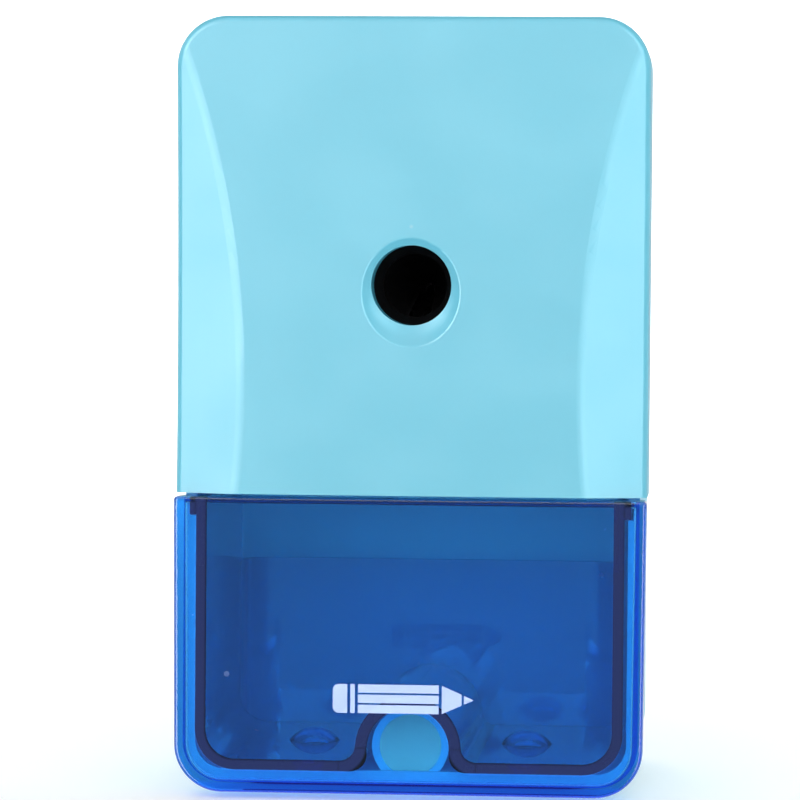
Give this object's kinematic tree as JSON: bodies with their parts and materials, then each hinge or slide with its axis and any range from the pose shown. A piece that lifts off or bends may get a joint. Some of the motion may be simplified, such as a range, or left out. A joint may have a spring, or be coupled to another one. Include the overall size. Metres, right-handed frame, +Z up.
{
  "type": "crank pencil sharpener",
  "caption": "Hand-cranked desk pencil sharpener: faceted upright housing, clear pull-out shavings drawer, helical cutter in a geared carrier, rear crank.",
  "frame": {"origin": "on the table, under the middle of the housing's footprint, in the foot pad's underside", "axes": "+Z up, -Y out of the pencil hole in the front, +Y to the crank side, +X to the right seen from the front"},
  "size_m": [0.062, 0.0841, 0.1026],
  "materials": {
    "cover": "gloss, light blue",
    "housing": "fine satin, light blue",
    "socket": "gloss, light blue",
    "plug": "satin, pale grey",
    "pad": "matt black",
    "drawer": "clear, dyed deep blue",
    "guide": "satin black",
    "frame": "satin black",
    "gear": "natural, unpainted",
    "screw": "zinc plated",
    "bearing": "natural, unpainted",
    "carrier": "satin black",
    "steel": "ground",
    "cutter": "hardened, oiled",
    "pinion": "sintered",
    "arm": "fine satin, light blue",
    "knob": "gloss, deep blue",
    "knob_cap": "gloss, light blue"
  },
  "bodies": {
    "housing": {"front_cover": "cover", "rear_housing": "housing", "clamp_socket": "socket", "socket_plug": "plug", "rubber_foot_pad": "pad", "pencil_guide": "guide", "gear_frame": "frame", "ring_gear": "gear", "frame_screws": "screw", "housing_screws": "screw", "rear_bearing": "bearing"},
    "drawer": {"drawer": "drawer"},
    "crank": {"cutter_carrier": "carrier", "cutter_pin": "steel", "cutter_washer": "steel", "crank_shaft": "steel", "inner_washer": "steel", "outer_washer": "steel", "crank_arm": "arm", "crank_screw": "screw", "knob_pin": "steel"},
    "cutter": {"helical_cutter": "cutter", "cutter_pinion": "pinion"},
    "knob": {"crank_knob": "knob", "knob_cap": "knob_cap"}
  },
  "joints": [
    {"name": "drawer_slide", "type": "slide", "parent": "housing", "child": "drawer", "axis": [0, -1, 0], "range_m": [0, 0.042]},
    {"name": "crank_turn", "type": "hinge", "parent": "housing", "child": "crank", "pos_m": [0, 0.03, 0.0675], "axis": [0, -1, 0], "continuous": true},
    {"name": "cutter_spin", "type": "hinge", "parent": "crank", "child": "cutter", "pos_m": [0, 0.0394, 0.0675], "axis": [0, -0.9799, -0.1994], "continuous": true},
    {"name": "knob_spin", "type": "hinge", "parent": "crank", "child": "knob", "pos_m": [0, 0.0455, 0.0255], "axis": [0, -1, 0], "continuous": true}
  ],
  "couplings": [
    {"joint": "cutter_spin", "follows": "crank_turn", "ratio": -3.1538}
  ]
}
